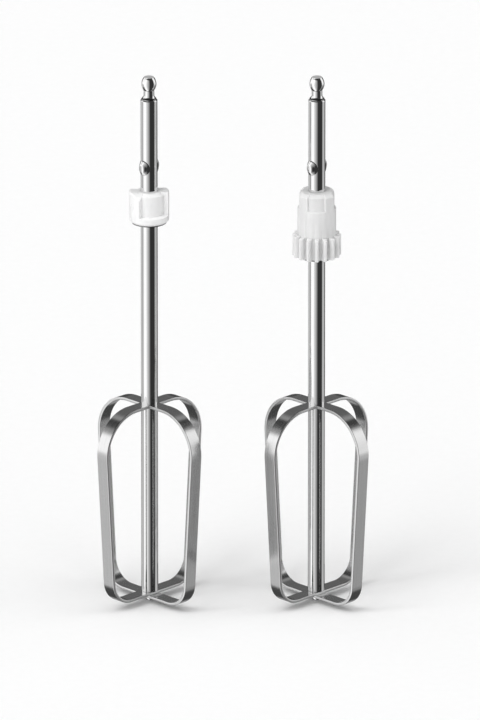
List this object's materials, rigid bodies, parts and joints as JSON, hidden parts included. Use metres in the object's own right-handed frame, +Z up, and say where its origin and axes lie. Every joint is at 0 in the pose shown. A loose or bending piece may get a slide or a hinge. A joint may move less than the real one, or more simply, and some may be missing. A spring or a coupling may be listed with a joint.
{
  "type": "hand mixer beaters",
  "caption": "Matched steel beaters for a hand mixer: looped strip blades on round shafts with ball tips and drive lugs, one with a lobed collar, the other with a geared collar.",
  "frame": {"origin": "at the height of the foot rivets' lowest points, midway between the two shafts", "axes": "+Z up along both shafts, +X from the plain beater to the geared one, -Y the front"},
  "size_m": [0.1004, 0.0384, 0.2055],
  "materials": {
    "polished_steel": "bright drawn stainless steel, mirror polish",
    "blade_steel": "rolled stainless strip, satin with a soft sheen",
    "white_plastic": "moulded white, semi-gloss",
    "natural_plastic": "moulded natural white, slightly translucent, semi-gloss"
  },
  "bodies": {
    "plain_beater": {"plain_shaft_tube": "polished_steel", "plain_ball_tip": "polished_steel", "plain_drive_pin": "polished_steel", "plain_collar": "white_plastic", "plain_collar_washer": "polished_steel", "plain_blade_upper": "blade_steel", "plain_blade_lower": "blade_steel", "plain_foot_rivet": "polished_steel"},
    "gear_beater": {"gear_shaft_tube": "polished_steel", "gear_ball_tip": "polished_steel", "gear_drive_pin": "polished_steel", "gear_collar": "natural_plastic", "gear_collar_washer": "polished_steel", "gear_blade_upper": "blade_steel", "gear_blade_lower": "blade_steel", "gear_foot_rivet": "polished_steel"}
  },
  "joints": [
    {"name": "gear_beater_spin", "type": "hinge", "parent": "plain_beater", "child": "gear_beater", "pos_m": [0.03095, 0, 0], "axis": [0, 0, 1], "continuous": true}
  ]
}
